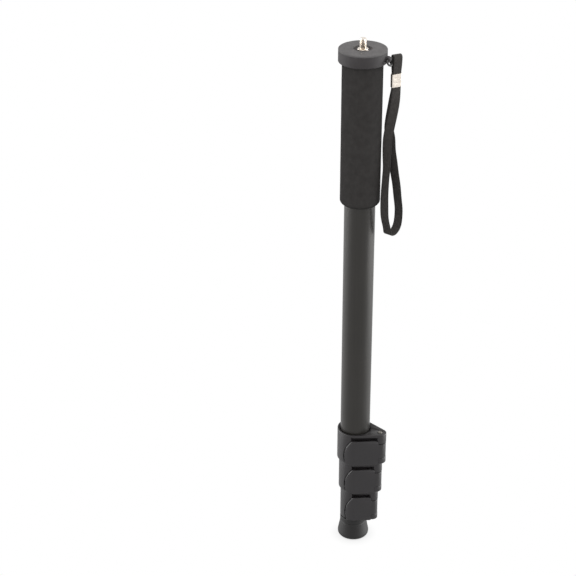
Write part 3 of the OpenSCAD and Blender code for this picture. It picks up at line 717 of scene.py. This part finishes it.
class MONOPOD_OT_grip(bpy.types.Operator):
    """Makes the foam grip"""

    bl_idname = "monopod.grip"
    bl_label = "Foam grip"

    def execute(self, context):
        low, high = low_high("foam_grip")
        inner = low_high("main_tube")[1].x + GLUE_LINE
        outer = high.x
        top_edge = 0.5
        profile = filleted(
            [(inner, low.z, 0), (outer, low.z, GRIP_EDGE), (outer, high.z, top_edge), (inner, high.z, 0)], steps=10
        )
        bm = bmesh.new()
        turned(bm, profile, steps=144, ring=True)
        tall = [e for e in bm.edges if abs(e.verts[0].co.z - e.verts[1].co.z) > 20 * MM]
        bmesh.ops.subdivide_edges(bm, edges=tall, cuts=68, use_grid_fill=True)
        bm.normal_update()
        ripple = sizes().foam_ripple
        # Two sizes of lump: hand-sized hollows and the grain of the grinding wheel
        hollow_size, grain_size, grain_share = 16 * MM, 4.5 * MM, 0.45
        for v in bm.verts:
            if v.co.xy.length / MM > inner + 1:
                lump = noise.noise(v.co / hollow_size) + grain_share * noise.noise(v.co / grain_size)
                v.co += v.normal * (lump - 1) * 0.5 * ripple
        piece = set_down(bm, "grip_foam", "upper", "ground_neoprene_foam", "grip_foam", "foam_grip", angle=60)
        return {"FINISHED"}


class MONOPOD_OT_head(bpy.types.Operator):
    """Softens the head disc and finishes its pad and nut"""

    bl_idname = "monopod.head"
    bl_label = "Head"

    def execute(self, context):
        set_down(
            softened("head_platform", sizes().head_round), "head_disc", "upper", "grained_nylon_head",
            "head_plastic", "head_platform",
        )
        dress("head_pad", "rubber_pad")
        dress("screw_nut", "bright_nickel")
        return {"FINISHED"}


class MONOPOD_OT_screw(bpy.types.Operator):
    """Makes the threaded camera screw with its flange"""

    bl_idname = "monopod.screw"
    bl_label = "Camera screw"

    def execute(self, context):
        low, high = low_high("camera_screw")
        floor = low_high("head_pad")[0].z
        flange_r, top = high.x, floor + FLANGE_THICK
        overlap = 0.2
        bm = bmesh.new()
        profile = filleted([
            (0, low.z, 0), (STUD_RADIUS, low.z, 0.3), (STUD_RADIUS, floor, 0), (flange_r, floor, 0.1),
            (flange_r, top, 0.35), (STUD_RADIUS - overlap, top, 0), (0, top, 0),
        ])
        turned(bm, profile, steps=64)
        self.thread(bm, STUD_RADIUS, top - overlap, high.z)
        set_down(bm, "camera_screw_thread", "upper", "bright_nickel", "bright_metal", "camera_screw", angle=30)
        return {"FINISHED"}

    def thread(self, bm, radius, low, high):
        """One tooth's outline is swept up a helix; the ends are then cut flat and the tip is chamfered."""
        pitch = sizes().thread_pitch / MM
        root = radius - sizes().thread_depth / MM
        slices, tip = 32, 0.9
        turns = math.ceil((high - low) / pitch) + 2
        # Radius of the tooth, and height as a share of the pitch
        outline = [(root, 0), (root, 0.12), (radius, 0.44), (radius, 0.56), (root, 0.88), (root, 1)]
        rod = bmesh.new()
        made = [rod.verts.new((r * MM, 0, (low + (h - 1) * pitch) * MM)) for r, h in outline]
        edges = [rod.edges.new(pair) for pair in zip(made, made[1:])]
        bmesh.ops.spin(
            rod, geom=made + edges, cent=(0, 0, 0), axis=(0, 0, 1), dvec=(0, 0, pitch / slices * MM),
            angle=2 * math.pi * turns, steps=slices * turns,
        )
        bmesh.ops.remove_doubles(rod, verts=rod.verts, dist=0.001 * MM)
        for v in rod.verts:
            most = (radius - max(0.0, v.co.z / MM - (high - tip))) * MM
            if v.co.xy.length > most:
                v.co.xy *= most / v.co.xy.length
        for height, way in ((low, -1), (high, 1)):
            bmesh.ops.bisect_plane(
                rod, geom=rod.verts[:] + rod.edges[:] + rod.faces[:], dist=0.0001 * MM,
                plane_co=(0, 0, height * MM), plane_no=(0, 0, way), clear_outer=True,
            )
        bmesh.ops.holes_fill(rod, edges=[e for e in rod.edges if e.is_boundary], sides=0)
        bmesh.ops.recalc_face_normals(rod, faces=rod.faces)
        held = bpy.data.meshes.new("thread")
        rod.to_mesh(held)
        rod.free()
        bm.from_mesh(held)
        bpy.data.meshes.remove(held)


class MONOPOD_OT_tubes(bpy.types.Operator):
    """Finishes the tubes and their guide bushes"""

    bl_idname = "monopod.tubes"
    bl_label = "Tubes"

    def execute(self, context):
        for node in ("main_tube", "tube_2", "tube_3", "tube_4"):
            dress(node, "satin_anodised_tube")
        for node in ("bush_2", "bush_3", "bush_4"):
            dress(node, "plain_acetal")
        return {"FINISHED"}


class MONOPOD_OT_clamps(bpy.types.Operator):
    """Softens the clamp collars and levers, and makes their hinge pins"""

    bl_idname = "monopod.clamps"
    bl_label = "Clamps"

    def execute(self, context):
        for i, body in CLAMP_BODIES.items():
            set_down(
                softened(f"clamp_{i}_collar", sizes().collar_round), f"collar_{i}", body, "grained_nylon_clamp",
                "clamp_plastic", f"clamp_{i}_collar",
            )
            set_down(
                softened(f"clamp_{i}_lever", sizes().lever_round), f"flip_lever_{i}", f"lever_{i}",
                "grained_nylon_lever", "lever_plastic", f"clamp_{i}_lever",
            )
            dress(f"clamp_{i}_shoe", "plain_acetal")
            self.pin(i, body)
        return {"FINISHED"}

    def pin(self, i, body):
        """Hinge pin with a rounded, slightly dished head."""
        low, high = low_high(f"clamp_{i}_pin")
        centre = ((low.x + high.x) / 2, 0)
        shank, head, under = PIN_SHANK_RADIUS, (high.x - low.x) / 2, high.z - PIN_HEAD_THICK
        dish_rim, dish_floor, dish_z = 0.9, 0.7, high.z - 0.15
        bm = bmesh.new()
        profile = filleted([
            (0, low.z, 0), (shank, low.z, 0.3), (shank, under, 0), (head, under, 0.05), (head, high.z, 0.4),
            (dish_rim, high.z, 0.2), (dish_floor, dish_z, 0.1), (0, dish_z, 0),
        ])
        turned(bm, profile, 48, centre)
        set_down(bm, f"hinge_pin_{i}", body, "dull_zinc", "bright_metal", f"clamp_{i}_pin")


class MONOPOD_OT_foot(bpy.types.Operator):
    """Makes the rubber foot with its grooved sole, and finishes the plug inside it"""

    bl_idname = "monopod.foot"
    bl_label = "Foot"

    def execute(self, context):
        low, high = low_high("rubber_foot")
        wide = high.x
        neck = -low_high("clamp_3_collar")[0].x
        bore = low_high("tube_4")[1].x + GLUE_LINE
        floor = low_high("foot_plug")[0].z
        deep = sizes().sole_groove / MM
        mouth, bed, edge = 0.7, 0.45, 0.2
        sole = [(0, 0, 0)]
        for ring in SOLE_RINGS:
            sole += [
                (ring - mouth, 0, edge), (ring - bed, deep, edge), (ring + bed, deep, edge), (ring + mouth, 0, edge),
            ]
        side = [
            (wide, 0, FOOT_EDGE), (wide, FOOT_EDGE + 1.2, 2.5), (neck, FOOT_FLARE, 0.6),
            (neck, FOOT_FLARE + FOOT_GROOVE, 0.1), (neck - FOOT_GROOVE, FOOT_FLARE + 2 * FOOT_GROOVE, 0.3),
            (neck, FOOT_FLARE + 3 * FOOT_GROOVE, 0.1), (neck, high.z, 0.6), (bore, high.z, 0.3), (bore, floor, 0),
            (0, floor, 0),
        ]
        bm = bmesh.new()
        turned(bm, filleted(sole + side), steps=112)
        set_down(bm, "foot_rubber", "section_4", "rubber_foot", "foot_rubber", "rubber_foot", angle=50)
        dress("foot_plug", "plain_acetal")
        return {"FINISHED"}


class MONOPOD_PT_panel(bpy.types.Panel):
    """Lists the pieces, their sizes and their colours"""

    bl_idname = "MONOPOD_PT_panel"
    bl_label = "Camera monopod"
    bl_space_type = "VIEW_3D"
    bl_region_type = "UI"
    bl_category = "Monopod"

    def draw(self, context):
        scene = context.scene
        for operator in OPERATORS:
            self.layout.operator(operator.bl_idname)
        for group in (scene.monopod_sizes, scene.monopod_colours, scene.monopod_stage):
            box = self.layout.box()
            for name in group.__annotations__:
                box.prop(group, name)


# The camera and the cords come first
OPERATORS = (
    MONOPOD_OT_stage, MONOPOD_OT_strap, MONOPOD_OT_grip, MONOPOD_OT_head, MONOPOD_OT_screw, MONOPOD_OT_tubes,
    MONOPOD_OT_clamps, MONOPOD_OT_foot,
)
GROUPS = {"monopod_sizes": MonopodSizes, "monopod_colours": MonopodColours, "monopod_stage": MonopodStage}


def register():
    for group in GROUPS.values():
        bpy.utils.register_class(group)
    for name, group in GROUPS.items():
        setattr(bpy.types.Scene, name, bpy.props.PointerProperty(type=group))
    for made in (*OPERATORS, MONOPOD_PT_panel):
        bpy.utils.register_class(made)


def unregister():
    for made in (MONOPOD_PT_panel, *reversed(OPERATORS)):
        bpy.utils.unregister_class(made)
    for name, group in GROUPS.items():
        delattr(bpy.types.Scene, name)
        bpy.utils.unregister_class(group)


def main():
    register()
    for operator in OPERATORS:
        group, name = operator.bl_idname.split(".")
        getattr(getattr(bpy.ops, group), name)()


if __name__ == "__main__":
    main()
